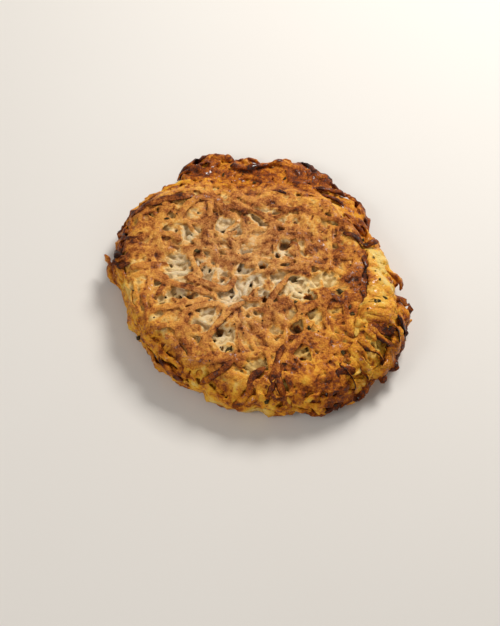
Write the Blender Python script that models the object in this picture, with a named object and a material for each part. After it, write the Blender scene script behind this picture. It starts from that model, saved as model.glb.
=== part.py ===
"""A pan-fried potato rosti: grated potato pressed into one flat cake with a ragged, crisp rim.

The cake is one closed body. It lies on a flat pan-browned underside, its top was pressed flat against
the pan as well, and its edge is uneven: steep at the front and the left, and thinning out into a low
crisp ledge at the back and the right. Metres, +Z up, +X to the right, -Y towards the front.
"""
import math

import bmesh
import bpy

# The cake as a whole.
NODE_NAME = "rosti"
BODY_RADIUS = 0.0735
TOP_HEIGHT = 0.0232
PLATEAU_RADIUS = 0.0625

# The rim: the height of its widest line, and how far the underside draws in below it.
RIM_HEIGHT = 0.0056
LEDGE_RIM_HEIGHT = 0.0030
UNDERCUT = 0.0065

# Lobes and notches of the outline: (direction in degrees, reach, half width in degrees).
# Directions run anticlockwise from +X, as seen from above.
OUTLINE_LOBES = (
    (-66.0, 0.0070, 12.0),  # ruffled lobe at the front right
    (-36.0, 0.0090, 13.0),  # its second fold
    (-11.0, 0.0055, 5.0),  # crisp spike at the right
    (8.0, -0.0025, 8.0),  # hollow below the right flap
    (22.0, -0.0075, 20.0),  # drawn-in right shoulder
    (72.0, 0.0015, 9.0),  # back lobe
    (111.0, 0.0060, 7.0),  # lacy back lobe
    (135.0, -0.0060, 8.0),  # notch behind the left shoulder
    (150.0, 0.0015, 6.0),  # left shoulder
    (163.0, -0.0030, 7.0),  # its far side
    (196.0, -0.0048, 17.0),  # hollow on the left side
    (222.0, -0.0045, 9.0),  # pinch at the front left
    (240.0, -0.0045, 9.0),  # straight front left edge
)

# Lobes and notches of the pressed top, in the same form.
PLATEAU_LOBES = (
    (-44.0, 0.0060, 15.0),  # carried out over the ruffled lobe
    (8.0, -0.0095, 20.0),  # set back behind the right flap
    (60.0, -0.0170, 24.0),  # set back at the back right
    (103.0, -0.0250, 21.0),  # set back behind the ledge
    (146.0, 0.0020, 11.0),  # square left shoulder
    (190.0, -0.0075, 17.0),  # sloping left side
    (240.0, -0.0040, 14.0),  # sloping front left
)

# Where the edge thins out into a low ledge: (direction in degrees, share of a full ledge, half width).
LEDGE_SPANS = (
    (92.0, 1.0, 34.0),
    (28.0, 0.75, 24.0),
    (-12.0, 0.45, 14.0),
)
LEDGE_FULL_HEIGHT = 0.0115

# Ripples of the edge: (waves round the cake, height, phase).
RIM_RIPPLES = ((11, 0.0008, 0.4), (18, 0.0008, 2.1), (29, 0.0007, 5.0))

# Gentle dents of the pressed top: waves that cross at a steady turn, each shorter and lower.
DENT_WAVES = 6
DENT_LENGTH = 0.078
DENT_HEIGHT = 0.0010
DENT_STEP = 0.80
DENT_TURN = math.radians(137.5)

# The mesh: spokes round the cake, and rings from the middle of the top to the middle of the base.
SPOKES = 120
RINGS = 38
TOP_SHARE = 0.64
PLATEAU_SHARE = 0.48
UNDERCUT_SHARE = 0.36

CRUST_COLOUR = (0.35, 0.145, 0.038, 1.0)
CRUST_ROUGHNESS = 0.55


def clear_scene():
    for item in list(bpy.data.objects):
        bpy.data.objects.remove(item, do_unlink=True)


def smooth(value):
    """Eases from 0 to 1 as value goes from 0 to 1."""
    value = min(max(value, 0.0), 1.0)
    return value * value * (3.0 - 2.0 * value)


def lobes_at(angle, lobes):
    """The sum of the lobes' bell curves in one direction."""
    total = 0.0
    for direction, reach, half_width in lobes:
        away = (math.degrees(angle) - direction + 180.0) % 360.0 - 180.0
        total += reach * math.exp(-0.5 * (away / half_width) ** 2)
    return total


def outline_radius(angle):
    ripples = sum(height * math.sin(waves * angle + phase) for waves, height, phase in RIM_RIPPLES)
    return BODY_RADIUS + lobes_at(angle, OUTLINE_LOBES) + ripples


def plateau_radius(angle):
    return PLATEAU_RADIUS + lobes_at(angle, PLATEAU_LOBES)


def ledge_share(angle):
    return min(lobes_at(angle, LEDGE_SPANS), 1.0)


def rim_height(share):
    """Height of the widest line, which sinks where the edge is a ledge."""
    return RIM_HEIGHT + (LEDGE_RIM_HEIGHT - RIM_HEIGHT) * share


def dent(x, y):
    """The height of the pressed top's gentle waves over a point."""
    total = 0.0
    for step in range(DENT_WAVES):
        shrink = DENT_STEP**step
        turn = DENT_TURN * (step + 1)
        along = x * math.cos(turn) + y * math.sin(turn)
        total += DENT_HEIGHT * shrink * math.sin(math.tau * along / (DENT_LENGTH * shrink) + turn)
    return total


def edge_profile(way_out, share):
    """Height above the rim, as a share, from the plateau's edge (0) to the rim (1)."""
    shoulder = (1.0 - way_out**2.2) ** (1.0 / 2.2)
    ledge_top = LEDGE_FULL_HEIGHT / TOP_HEIGHT
    drop = 1.0 - (1.0 - ledge_top) * smooth(way_out / 0.62)
    rim_round = (1.0 - way_out**6) ** 0.5
    return shoulder * (1.0 - share) + drop * rim_round * share


def top_point(angle, part):
    """Radius and height on the upper side, from the middle (part 0) to the rim (part 1)."""
    outline = outline_radius(angle)
    plateau = plateau_radius(angle)
    if part < PLATEAU_SHARE:
        radius = plateau * part / PLATEAU_SHARE
        way_out = 0.0
    else:
        way_out = math.sin(0.5 * math.pi * (part - PLATEAU_SHARE) / (1.0 - PLATEAU_SHARE))
        radius = plateau + (outline - plateau) * way_out
    share = ledge_share(angle)
    rim = rim_height(share)
    fade = 1.0 - way_out
    crest = TOP_HEIGHT + dent(radius * math.cos(angle), radius * math.sin(angle)) * fade
    return radius, rim + (crest - rim) * edge_profile(way_out, share)


def under_point(angle, part):
    """Radius and height on the underside, from the rim (part 0) to the middle (part 1)."""
    outline = outline_radius(angle)
    foot = outline - UNDERCUT
    rim = rim_height(ledge_share(angle))
    if part < UNDERCUT_SHARE:
        bend = 0.5 * math.pi * part / UNDERCUT_SHARE
        return foot + UNDERCUT * math.cos(bend), rim * (1.0 - math.sin(bend))
    return foot * (1.0 - part) / (1.0 - UNDERCUT_SHARE), 0.0


def shape_cake(mesh):
    """Turns a unit sphere's rings into the cake's top, rim and flat underside."""
    for vert in mesh.verts:
        ring = math.acos(min(max(vert.co.z, -1.0), 1.0)) / math.pi
        angle = math.atan2(vert.co.y, vert.co.x)
        if ring <= TOP_SHARE:
            radius, height = top_point(angle, ring / TOP_SHARE)
        else:
            radius, height = under_point(angle, (ring - TOP_SHARE) / (1.0 - TOP_SHARE))
        vert.co = (radius * math.cos(angle), radius * math.sin(angle), height)


def centre_on_base(mesh):
    """Moves the cake so that the middle of its base is at the origin."""
    xs = [vert.co.x for vert in mesh.verts]
    ys = [vert.co.y for vert in mesh.verts]
    zs = [vert.co.z for vert in mesh.verts]
    shift = (-(min(xs) + max(xs)) / 2.0, -(min(ys) + max(ys)) / 2.0, -min(zs))
    bmesh.ops.translate(mesh, verts=mesh.verts, vec=shift)


def crust_material():
    material = bpy.data.materials.new("fried_crust")
    material.use_nodes = True
    shader = material.node_tree.nodes["Principled BSDF"]
    shader.inputs["Base Color"].default_value = CRUST_COLOUR
    shader.inputs["Roughness"].default_value = CRUST_ROUGHNESS
    shader.inputs["Metallic"].default_value = 0.0
    return material


def build_rosti():
    collection = bpy.data.collections.new("potato_rosti")
    bpy.context.scene.collection.children.link(collection)
    mesh = bmesh.new()
    bmesh.ops.create_uvsphere(mesh, u_segments=SPOKES, v_segments=RINGS, radius=1.0)
    shape_cake(mesh)
    centre_on_base(mesh)
    bmesh.ops.triangulate(mesh, faces=mesh.faces)
    bmesh.ops.recalc_face_normals(mesh, faces=mesh.faces)
    data = bpy.data.meshes.new(NODE_NAME)
    mesh.to_mesh(data)
    mesh.free()
    data.shade_smooth()
    data.materials.append(crust_material())
    rosti = bpy.data.objects.new(NODE_NAME, data)
    collection.objects.link(rosti)
    return rosti


clear_scene()
build_rosti()
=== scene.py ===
"""The looks of a pan-fried potato rosti: grated potato pressed into a cake and fried on both sides.

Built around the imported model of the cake. Metres, +Z up, +X to the right, -Y towards the front.
"""
import math

import bmesh
import bpy
import numpy as np
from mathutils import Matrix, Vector, noise
from mathutils.bvhtree import BVHTree


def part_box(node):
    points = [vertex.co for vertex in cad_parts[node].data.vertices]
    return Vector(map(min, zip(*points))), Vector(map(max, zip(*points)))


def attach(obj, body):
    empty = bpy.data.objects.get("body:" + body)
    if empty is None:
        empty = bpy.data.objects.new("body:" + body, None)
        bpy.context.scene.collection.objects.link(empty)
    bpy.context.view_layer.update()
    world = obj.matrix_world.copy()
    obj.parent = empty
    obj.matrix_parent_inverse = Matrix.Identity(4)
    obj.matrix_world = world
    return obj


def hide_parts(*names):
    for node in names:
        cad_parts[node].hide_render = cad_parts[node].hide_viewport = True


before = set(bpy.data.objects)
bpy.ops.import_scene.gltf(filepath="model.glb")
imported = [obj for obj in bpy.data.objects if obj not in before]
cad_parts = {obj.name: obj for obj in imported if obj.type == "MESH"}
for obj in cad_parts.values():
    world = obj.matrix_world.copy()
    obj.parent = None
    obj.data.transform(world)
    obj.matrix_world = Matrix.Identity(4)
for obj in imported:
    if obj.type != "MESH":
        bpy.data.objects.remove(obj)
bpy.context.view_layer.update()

MM = 0.001


# ---------------------------------------------------------------------------
# The studio: a pale table top under soft lamps, and the camera. The camera
# looks down on the cake from the front, as one looks at a plate on a table.
# ---------------------------------------------------------------------------
class Wire:
    """A node's output. Sums on wires add Math nodes to their tree."""

    def __init__(self, tree, socket):
        self.tree = tree
        self.socket = socket

    def sum(self, operation, *values):
        """The output of a Math node over the values."""
        inputs = dict(enumerate(values))
        return self.tree.add("ShaderNodeMath", {"operation": operation}, inputs)["Value"]

    def __add__(self, other):
        return self.sum("ADD", self, other)

    def __radd__(self, other):
        return self.sum("ADD", other, self)

    def __sub__(self, other):
        return self.sum("SUBTRACT", self, other)

    def __rsub__(self, other):
        return self.sum("SUBTRACT", other, self)

    def __mul__(self, other):
        return self.sum("MULTIPLY", self, other)

    def __rmul__(self, other):
        return self.sum("MULTIPLY", other, self)

    def __pow__(self, other):
        return self.sum("POWER", self, other)

    def ease(self, start, end):
        """0 below start and 1 above end, with a smooth step between them."""
        settings = {"interpolation_type": "SMOOTHSTEP"}
        inputs = {"Value": self, "From Min": start, "From Max": end}
        return self.tree.add("ShaderNodeMapRange", settings, inputs)["Result"]


class Node:
    """A node whose sockets are read by name. Of sockets with one name, the one in use counts."""

    def __init__(self, tree, node):
        self.tree = tree
        self.node = node

    def __getitem__(self, name):
        return Wire(self.tree, pick(self.node.outputs, name))


def pick(sockets, name):
    """The socket at a place or of a name."""
    if isinstance(name, int):
        return sockets[name]
    return next(socket for socket in sockets if socket.name == name and socket.enabled)


def set_stops(ramp, stops):
    """Gives a colour ramp its stops: (place, colour)."""
    while len(ramp.elements) < len(stops):
        ramp.elements.new(1.0)
    for element, (place, colour) in zip(ramp.elements, stops):
        element.position = place
        element.color = (*colour, 1.0)


class Tree:
    """A shader or geometry tree that grows node by node."""

    def __init__(self, tree):
        self.tree = tree

    def add(self, kind, settings=None, inputs=None):
        """Adds a node: its type, its settings, then the values or wires of its inputs."""
        node = self.tree.nodes.new(kind)
        for name, value in (settings or {}).items():
            if name == "stops":
                set_stops(node.color_ramp, value)
            else:
                setattr(node, name, value)
        for name, value in (inputs or {}).items():
            self.feed(pick(node.inputs, name), value)
        return Node(self, node)

    def feed(self, socket, value):
        """Links a wire to a socket, or sets its plain value."""
        if isinstance(value, Wire):
            self.tree.links.new(value.socket, socket)
        else:
            socket.default_value = value


def start_material(name, **values):
    """A new material with its tree and its one shader, whose plain values are set."""
    material = bpy.data.materials.new(name)
    material.use_nodes = True
    tree = Tree(material.node_tree)
    shader = material.node_tree.nodes["Principled BSDF"]
    for socket, value in values.items():
        shader.inputs[socket.replace("_", " ")].default_value = value
    return material, tree, shader


TABLE_SIZE = 3.0
TABLE_TONE = (0.74, 0.72, 0.69)
TABLE_TONE_WARM = (0.70, 0.67, 0.63)
TABLE_ROUGHNESS = 0.85


def table_material():
    """Pale, matte and faintly cloudy."""
    material, tree, shader = start_material("pale_table", Roughness=TABLE_ROUGHNESS)
    place = tree.add("ShaderNodeTexCoord")["Object"]
    cloud = tree.add("ShaderNodeTexNoise", None, {"Vector": place, "Scale": 3.0, "Detail": 3.0})
    tones = tree.add(
        "ShaderNodeMix",
        {"data_type": "RGBA"},
        {"Factor": cloud["Fac"], "A": (*TABLE_TONE, 1.0), "B": (*TABLE_TONE_WARM, 1.0)},
    )
    tree.feed(shader.inputs["Base Color"], tones["Result"])
    return material


bpy.ops.mesh.primitive_plane_add(size=TABLE_SIZE)
table = bpy.context.object
table.name = "table_top"
table.data.transform(table.matrix_world)
table.data.materials.append(table_material())

# The view: how steeply it looks down, from how far, and where it is aimed.
VIEW_ELEVATION = math.radians(57.0)
VIEW_DISTANCE = 0.70
VIEW_DROP = math.radians(1.6)
VIEW_ASIDE = -4.25 * MM
VIEW_HEIGHT = 10.0 * MM
LENS = 80.5

camera_data = bpy.data.cameras.new("camera")
camera_data.lens = LENS
camera_data.sensor_width = 36.0
camera = bpy.data.objects.new("camera", camera_data)
camera.location = (
    VIEW_ASIDE,
    -VIEW_DISTANCE * math.cos(VIEW_ELEVATION),
    VIEW_HEIGHT + VIEW_DISTANCE * math.sin(VIEW_ELEVATION),
)
camera.rotation_euler = (math.pi / 2 - VIEW_ELEVATION - VIEW_DROP, 0.0, 0.0)
bpy.context.scene.collection.objects.link(camera)
bpy.context.scene.camera = camera

# Soft lamps: (name, place, size, watts, colour).
LAMPS = (
    ("key_lamp", (0.32, 0.50, 0.60), 0.28, 7.0, (1.0, 0.97, 0.93)),
    ("fill_lamp", (-0.55, -0.35, 0.60), 0.34, 1.8, (1.0, 0.98, 0.96)),
    ("front_lamp", (0.25, -0.75, 0.50), 0.60, 0.8, (1.0, 0.98, 0.96)),
)
for name, place, size, watts, colour in LAMPS:
    lamp_data = bpy.data.lights.new(name, "AREA")
    lamp_data.size = size
    lamp_data.energy = watts
    lamp_data.color = colour
    lamp = bpy.data.objects.new(name, lamp_data)
    lamp.location = place
    lamp.rotation_euler = (-Vector(place)).to_track_quat("-Z", "Y").to_euler()
    bpy.context.scene.collection.objects.link(lamp)

SKY_TONE = (1.0, 0.96, 0.90, 1.0)
SKY_STRENGTH = 0.27
world = bpy.data.worlds.new("studio")
world.use_nodes = True
world.node_tree.nodes["Background"].inputs["Color"].default_value = SKY_TONE
world.node_tree.nodes["Background"].inputs["Strength"].default_value = SKY_STRENGTH
bpy.context.scene.world = world
bpy.context.scene.view_settings.view_transform = "Standard"


# ---------------------------------------------------------------------------
# The cake: grated potato, squeezed dry, seasoned and pressed flat in a pan of
# hot oil, then turned. The shreds fuse into one body; what touched the pan is
# browned and flat, and what the pan didn't reach stays pale and soft.
# ---------------------------------------------------------------------------
CAKE = "rosti"
cake_low, cake_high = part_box(CAKE)


def merged_cake():
    """The cake's plain solid as one closed bmesh."""
    solid = bmesh.new()
    solid.from_mesh(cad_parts[CAKE].data)
    bmesh.ops.remove_doubles(solid, verts=solid.verts, dist=0.01 * MM)
    return solid


solid = merged_cake()
SKIN = BVHTree.FromBMesh(solid)
solid_mesh = bpy.data.meshes.new("cake_skin")
solid.to_mesh(solid_mesh)
solid.free()

PAN_STEP = 2.0 * MM
PAN_MARGIN = 6.0 * MM
PAN_FLOOR = -0.05
# A distance that is well outside the cake, which rays are cast from.
FAR_OFF = 0.1
DOWN = Vector((0.0, 0.0, -1.0))


def sample_pan():
    """The height of the cake's skin over a square grid, seen from above."""
    reach = max(abs(value) for corner in (cake_low, cake_high) for value in corner[:2]) + PAN_MARGIN
    count = int(2 * reach / PAN_STEP) + 1
    heights = np.full((count, count), PAN_FLOOR)
    for row in range(count):
        for column in range(count):
            over = Vector((column * PAN_STEP - reach, row * PAN_STEP - reach, FAR_OFF))
            hit = SKIN.ray_cast(over, DOWN)[0]
            if hit is not None:
                heights[row, column] = hit.z
    return heights, reach


PAN_HEIGHTS, PAN_REACH = sample_pan()


def pan_at(points):
    """The height of the hot pan over each point, as the cake's top was pressed."""
    count = len(PAN_HEIGHTS)
    place = np.clip((points[:, :2] + PAN_REACH) / PAN_STEP, 0.0, count - 1.001)
    column, row = place[:, 0].astype(int), place[:, 1].astype(int)
    across, along = place[:, 0] - column, place[:, 1] - row
    near = PAN_HEIGHTS[row, column] * (1 - across) + PAN_HEIGHTS[row, column + 1] * across
    far = PAN_HEIGHTS[row + 1, column] * (1 - across) + PAN_HEIGHTS[row + 1, column + 1] * across
    return near * (1 - along) + far * along


def points_of(mesh):
    """A mesh's points as an array."""
    found = np.empty(len(mesh.vertices) * 3, np.float32)
    mesh.vertices.foreach_get("co", found)
    return found.reshape(-1, 3).astype(float)


def normals_of(mesh):
    """The directions that a mesh's points face, as an array."""
    found = np.empty(len(mesh.vertices) * 3, np.float32)
    mesh.vertex_normals.foreach_get("vector", found)
    return found.reshape(-1, 3).astype(float)


def set_points(mesh, points):
    """Moves a mesh's points to new places."""
    mesh.vertices.foreach_set("co", points.astype(np.float32).ravel())
    mesh.update()


def set_value(mesh, name, values):
    """Stores one number for each point of a mesh."""
    kept = mesh.attributes.get(name) or mesh.attributes.new(name, "FLOAT", "POINT")
    kept.data.foreach_set("value", np.asarray(values, np.float32))


def set_ways(mesh, name, ways):
    """Stores one direction for each point of a mesh."""
    kept_ways = mesh.attributes.new(name, "FLOAT_VECTOR", "POINT")
    kept_ways.data.foreach_set("vector", np.asarray(ways, np.float32).ravel())


def value_of(mesh, name):
    """The numbers that are stored under a name on a mesh's points."""
    found = np.empty(len(mesh.vertices), np.float32)
    mesh.attributes[name].data.foreach_get("value", found)
    return found.astype(float)


CLOUD_SHIFT = (3.71, 1.93, 5.17)
CLOUD_GAIN = 1.4


def cloud(points, size, seed, depth=2):
    """Soft random values from about -1 to 1 that vary over the given size."""
    shift = Vector([seed * step for step in CLOUD_SHIFT])
    values = [noise.fractal(Vector(point) / size + shift, 1.0, 2.0, depth) for point in points]
    return np.array(values) * CLOUD_GAIN


def ease(values, start, end):
    """0 below start and 1 above end, with a smooth step between them."""
    part = np.clip((values - start) / (end - start), 0.0, 1.0)
    return part * part * (3.0 - 2.0 * part)


def spots_at(points, spots):
    """The sum of soft oval spots seen from above: (x, y, half width, half depth, amount), in mm."""
    total = np.zeros(len(points))
    for x, y, wide, deep, amount in spots:
        away = ((points[:, 0] / MM - x) / wide) ** 2 + ((points[:, 1] / MM - y) / deep) ** 2
        total += amount * np.exp(-away)
    return total


def skin_gap(points):
    """How far each point stands out of the cake's plain skin, and the skin's direction there."""
    gaps = np.empty(len(points))
    ways = np.empty((len(points), 3))
    for index, point in enumerate(points):
        found, way, _, distance = SKIN.find_nearest(Vector(point))
        outward = (Vector(point) - found).dot(way) >= 0.0
        gaps[index] = distance if outward else -distance
        ways[index] = way
    return gaps, ways


# Pockets that the pan didn't reach, where pale shreds show: (x, y, half width, half depth, amount), in mm.
POCKETS = (
    (-40, -5, 8, 10.5, 1),
    (-26, -7, 4, 5, 0.9),
    (-8, -12, 8.5, 9, 1),
    (-14, -20, 6, 8.5, 1),
    (-2, -27, 5, 4, 0.9),
    (15, -15, 12, 9.5, 1),
    (4, 28, 10, 5, 1),
    (-15, 20, 7, 5, 1),
    (-8, 6, 5, 3, 0.9),
    (-33, 16, 5, 4.5, 1),
    (-24, -35, 7.5, 6, 1),
    (-17, -43, 9, 5, 1),
    (-1, -60, 6.5, 6, 1),
    (8, -40, 4, 4, 1),
    (20, -51, 5, 5, 1),
    (26, -32, 4.5, 4.5, 1),
    (32, -10, 5, 6.5, 0.9),
    (-40, -19, 5, 6, 0.9),
    (11, 5, 4, 4, 0.9),
    (22, 6, 3, 6, 0.9),
    (39, -18, 4, 7, 0.8),
)
POCKET_WANDER = 2.2 * MM
POCKET_DEPTH = 2.3 * MM
# How full of pockets a place is where the crust starts to open and where it is all open.
POCKET_FROM, POCKET_TO = 0.28, 0.60
PIT_FROM, PIT_TO = 0.66, 0.92
PIT_SHARE = 0.75

# Deep holes between the shreds: (x, y, radius, depth), in mm.
HOLES = (
    (13, 9, 2.7, 7),
    (-33, -21, 2.2, 6),
    (3, -22, 2, 6),
    (24, -21, 2, 5),
    (18, -39, 3, 6),
    (-19, -41, 1.8, 5),
    (2, -4, 1.8, 5),
    (9, 2, 1.4, 4),
    (-41, 9, 1.5, 4),
    (-21, 27, 1.5, 4),
    (-6, 28, 1.7, 4),
    (19, 23, 1.6, 4),
    (20, -54, 1.9, 4),
    (-1, -63, 1.9, 4),
    (-30, -12, 1.4, 4),
    (-12, -2, 1.3, 4),
    (-31, 71, 1.6, 6),
    (-26, 60, 1.5, 2.4),
    (-17, 66, 1.4, 2.6),
    (-8, 60, 1.3, 2.2),
    (-2, 69, 1.4, 2.6),
    (7, 62, 1.5, 2.4),
    (14, 69, 1.3, 2.6),
    (22, 62, 1.6, 2.8),
    (29, 55, 1.4, 2.4),
    (40, 42, 1.4, 2.6),
    (46, 30, 1.5, 2.6),
    (-33, 53, 1.3, 2.4),
)
HOLE_WANDER = 1.1 * MM


def pocket_at(points):
    """1 in a pale pocket and 0 on the browned crust. The pockets' outlines wander."""
    wander = [cloud(points, 4.5 * MM, seed) for seed in (12, 13)]
    moved = points.copy()
    moved[:, :2] += POCKET_WANDER * np.column_stack(wander)
    field = spots_at(moved, POCKETS) + 0.25 * cloud(points, 3.2 * MM, 14, 3)
    pits = PIT_SHARE * ease(cloud(points, 4.2 * MM, 15), PIT_FROM, PIT_TO)
    return np.maximum(ease(field, POCKET_FROM, POCKET_TO), pits)


def hole_at(points):
    """How deep the holes between the shreds are at each point, in metres."""
    total = np.zeros(len(points))
    wander = [HOLE_WANDER * cloud(points, 2.4 * MM, seed) for seed in (21, 22)]
    for x, y, radius, depth in HOLES:
        away = np.hypot((points[:, 0] + wander[0]) / MM - x, (points[:, 1] + wander[1]) / MM - y) / radius
        total = np.maximum(total, depth * MM * np.exp(-(away**3)))
    return total


# Shares of the cake's height and of its reach to the right, between which an effect sets in.
PRESSED_FROM, PRESSED_TO = 0.55, 0.72
SINK_FROM, SINK_TO = 0.25, 0.8
RIM_FROM, RIM_TO = 0.72, 0.96


def pressed_share(points):
    """1 where the cake's top was pressed flat by the pan and 0 on its sides and its ledge."""
    return ease(pan_at(points), cake_high.z * PRESSED_FROM, cake_high.z * PRESSED_TO)


def sink_at(points):
    """How far each point sinks into the top's pockets and holes."""
    near_top = ease(points[:, 2], SINK_FROM * cake_high.z, SINK_TO * cake_high.z)
    pockets = POCKET_DEPTH * pocket_at(points) * pressed_share(points)
    return (pockets + hole_at(points)) * near_top


RIM_LUMPS = 1.4 * MM
RIM_CRUMBS = 0.9 * MM
# Notches in the rim: (x, y, half width, half depth, how far in), in mm.
NOTCHES = (
    (74, -12, 9, 7, 8.5),
    (64, -50, 13, 14, 3),
    (62, -8, 7, 18, 1.6),
    (-72, -23, 8, 13, 6),
    (-62, -44, 7, 9, 3),
    (3, 75, 4, 5, 3),
    (-73, 27, 5, 3, 2.5),
    (-75, 7, 5, 3.5, 2.5),
    (73, -52, 5, 4, 2.5),
    (60, 24, 6, 5, 2),
)


def settle(mesh, share=1.0):
    """Makes the rim ragged, and lets a share of its notches and of the top's pockets sink in."""
    points = points_of(mesh)
    reach = np.hypot(points[:, 0], points[:, 1])
    outer = ease(reach, RIM_FROM * cake_high.x, RIM_TO * cake_high.x)
    push = RIM_LUMPS * cloud(points, 8.0 * MM, 17) + RIM_CRUMBS * cloud(points, 3.0 * MM, 18)
    push -= share * MM * spots_at(points, NOTCHES)
    points[:, :2] += points[:, :2] * (outer * push / np.maximum(reach, MM))[:, None]
    points[:, 2] -= share * sink_at(points)
    set_points(mesh, points)


def plain_object(name, mesh):
    """A mesh as an object in the scene."""
    piece = bpy.data.objects.new(name, mesh)
    bpy.context.scene.collection.objects.link(piece)
    return piece


def finished_mesh(piece, name):
    """The mesh of an object with its modifiers applied. The object itself is removed."""
    graph = bpy.context.evaluated_depsgraph_get()
    mesh = bpy.data.meshes.new_from_object(piece.evaluated_get(graph))
    mesh.name = name
    bpy.data.objects.remove(piece, do_unlink=True)
    return mesh


def remeshed(mesh, name, voxel):
    """The mesh as one closed skin of even faces."""
    piece = plain_object(name, mesh)
    modifier = piece.modifiers.new("remesh", "REMESH")
    modifier.mode = "VOXEL"
    modifier.voxel_size = voxel
    modifier.use_smooth_shade = True
    return finished_mesh(piece, name)


CORE_VOXEL = 1.3 * MM
CORE_INSET = 2.4 * MM
CORE_NOISE = 1.0 * MM
CORE_DIP = 2.6 * MM
CORE_LOWEST = 0.6 * MM


def cake_core():
    """The soft inside of the cake: its plain solid, drawn in and lumpy under the shreds."""
    mesh = remeshed(solid_mesh.copy(), "cake_core", CORE_VOXEL)
    points, normals = points_of(mesh), normals_of(mesh)
    inset = CORE_INSET + CORE_NOISE * (cloud(points, 8.0 * MM, 1) + 0.5 * cloud(points, 3.0 * MM, 2))
    inset += CORE_DIP * pocket_at(points) * ease(normals[:, 2], 0.3, 0.8)
    moved = points - normals * inset[:, None]
    moved[:, 2] = np.maximum(moved[:, 2], CORE_LOWEST)
    set_points(mesh, moved)
    return mesh


STRAND_RINGS = 14
STRAND_SIDES = 8
STRAND_GRAIN = 330.0


def new_group(name, sockets):
    """A geometry tree with named inputs: (name, kind). Its own geometry comes in as Surface."""
    group = bpy.data.node_groups.new(name, "GeometryNodeTree")
    for socket, kind in (("Surface", "Geometry"), *sockets, ("Material", "Material")):
        group.interface.new_socket(name=socket, in_out="INPUT", socket_type="NodeSocket" + kind)
    group.interface.new_socket(name="Strands", in_out="OUTPUT", socket_type="NodeSocketGeometry")
    tree = Tree(group)
    return group, tree, tree.add("NodeGroupInput")


def keep(tree, geometry, name, value, kind="FLOAT"):
    """Stores a value under a name on the points of a geometry."""
    inputs = {"Geometry": geometry, "Name": name, "Value": value}
    return tree.add("GeometryNodeStoreNamedAttribute", {"data_type": kind}, inputs)["Geometry"]


def kept(tree, name, kind="FLOAT"):
    """The value that is stored under a name on the points of a geometry."""
    settings = {"data_type": kind}
    return tree.add("GeometryNodeInputNamedAttribute", settings, {"Name": name})["Attribute"]


def scaled(tree, vector, factor):
    """A vector made longer or shorter."""
    settings = {"operation": "SCALE"}
    return tree.add("ShaderNodeVectorMath", settings, {0: vector, "Scale": factor})["Vector"]


def spun(tree, rotation, angle):
    """A rotation with a turn about its own upright axis."""
    inputs = {"Axis": (0.0, 0.0, 1.0), "Angle": angle}
    spin = tree.add("FunctionNodeAxisAngleToRotation", None, inputs)["Rotation"]
    inputs = {"Rotation": rotation, "Rotate By": spin}
    return tree.add("FunctionNodeRotateRotation", {"rotation_space": "LOCAL"}, inputs)["Rotation"]


def finish_tree(tree, given, geometry, noise_scale, noise_detail, amount):
    """Ends a geometry tree: roughens the shapes, and makes them one smooth mesh in its material."""
    inputs = {
        "Vector": tree.add("GeometryNodeInputPosition")["Position"],
        "Scale": noise_scale,
        "Detail": noise_detail,
    }
    rough = tree.add("ShaderNodeTexNoise", None, inputs)["Color"]
    centred = tree.add("ShaderNodeVectorMath", {"operation": "SUBTRACT"}, {0: rough, 1: (0.5, 0.5, 0.5)})
    inputs = {"Geometry": geometry, "Offset": scaled(tree, centred["Vector"], amount)}
    moved = tree.add("GeometryNodeSetPosition", None, inputs)["Geometry"]
    smooth = tree.add("GeometryNodeSetShadeSmooth", None, {"Geometry": moved})["Geometry"]
    whole = tree.add("GeometryNodeRealizeInstances", None, {"Geometry": smooth})["Geometry"]
    inputs = {"Geometry": whole, "Material": given["Material"]}
    dressed = tree.add("GeometryNodeSetMaterial", None, inputs)["Geometry"]
    tree.feed(tree.tree.nodes.new("NodeGroupOutput").inputs["Strands"], dressed)


def sweep(tree, given, strands, width):
    """Ends a geometry tree: turns curves into flat shreds with rounded, uneven edges."""
    way = tree.add("GeometryNodeSplineParameter")["Factor"] * 2.0 - 1.0
    along = (way * way) ** 0.5
    strands = keep(tree, strands, "along", along)
    taper = (1.0 - along**5.0) ** 0.5 * 0.7 + 0.3
    inputs = {"Resolution": STRAND_SIDES, "Radius": 0.5}
    circle = tree.add("GeometryNodeCurvePrimitiveCircle", None, inputs)["Curve"]
    place = tree.add("GeometryNodeInputPosition")["Position"]
    across = tree.add("ShaderNodeSeparateXYZ", None, {"Vector": place})["Y"]
    section = keep(tree, circle, "side", across * 2.0)
    flat = tree.add("ShaderNodeCombineXYZ", None, {"X": given["Flatness"], "Y": 1.0, "Z": 1.0})["Vector"]
    section = tree.add("GeometryNodeTransform", None, {"Geometry": section, "Scale": flat})["Geometry"]
    inputs = {"Curve": strands, "Profile Curve": section, "Scale": taper * width, "Fill Caps": True}
    swept = tree.add("GeometryNodeCurveToMesh", None, inputs)["Mesh"]
    finish_tree(tree, given, swept, STRAND_GRAIN, 2.0, given["Roughness"])


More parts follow.
